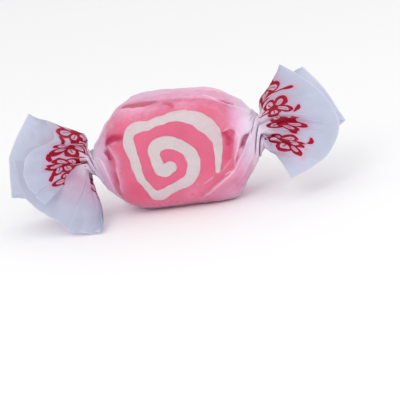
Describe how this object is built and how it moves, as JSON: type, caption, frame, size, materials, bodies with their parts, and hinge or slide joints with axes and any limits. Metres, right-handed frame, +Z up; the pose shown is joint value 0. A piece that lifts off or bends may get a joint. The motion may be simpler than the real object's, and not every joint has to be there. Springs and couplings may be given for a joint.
{
  "type": "salt water taffy",
  "caption": "Soft pulled candy with a spiral of white in pink, twist-wrapped in a printed waxed paper with a fan at each end.",
  "frame": {"origin": "middle of the small flat spot underneath, where the candy rests", "axes": "+X along the wrapper from one twisted end to the other, -Y out of the face that shows the swirl best, +Z up"},
  "size_m": [0.0695, 0.0258, 0.0234],
  "materials": {
    "waxed_paper": "thin white waxed paper, translucent and soft-glossy, crimson flower print near both twists",
    "pink_taffy": "satin pulled sugar candy",
    "white_taffy": "satin pulled sugar candy"
  },
  "bodies": {
    "root": {"wrapper": "waxed_paper", "taffy_pink": "pink_taffy", "taffy_white": "white_taffy"}
  },
  "joints": []
}
